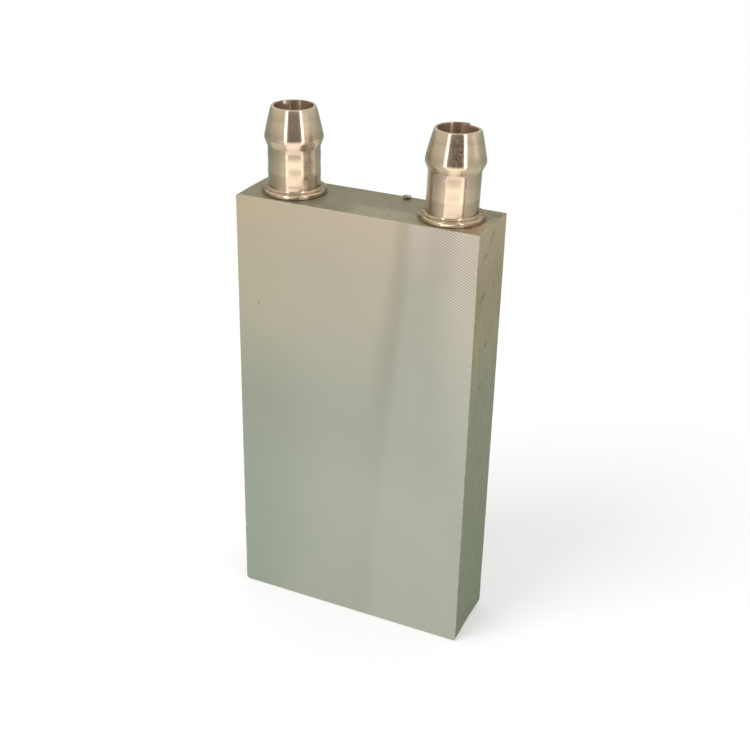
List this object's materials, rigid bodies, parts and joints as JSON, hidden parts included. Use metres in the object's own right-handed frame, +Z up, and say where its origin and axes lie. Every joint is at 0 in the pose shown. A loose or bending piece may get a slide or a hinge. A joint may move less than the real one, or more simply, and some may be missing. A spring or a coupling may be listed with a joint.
{
  "type": "liquid cooling cold plate",
  "caption": "Flat aluminium cold plate: a milled coolant chamber behind a smooth cold face, a lid brazed into its back, and straight hose barbs standing on its top edge.",
  "frame": {"origin": "middle of the block's bottom face", "axes": "+X along the pair of barbs, from inlet to outlet; +Y from the cold face to the back; +Z up, along the barbs"},
  "size_m": [0.042, 0.012, 0.089],
  "materials": {
    "block": "fly-cut satin cold face, raw slightly rough sides",
    "lid": "raw rolled plate",
    "filler": "bright braze filler",
    "fitting": "turned brass, nickel plated",
    "bond": "cured brown sealant"
  },
  "bodies": {
    "root": {"base_tray": "block", "cover_plate": "lid", "braze_seam": "filler", "inlet_barb": "fitting", "outlet_barb": "fitting", "inlet_sealant": "bond", "outlet_sealant": "bond", "braze_bead": "filler"}
  },
  "joints": []
}
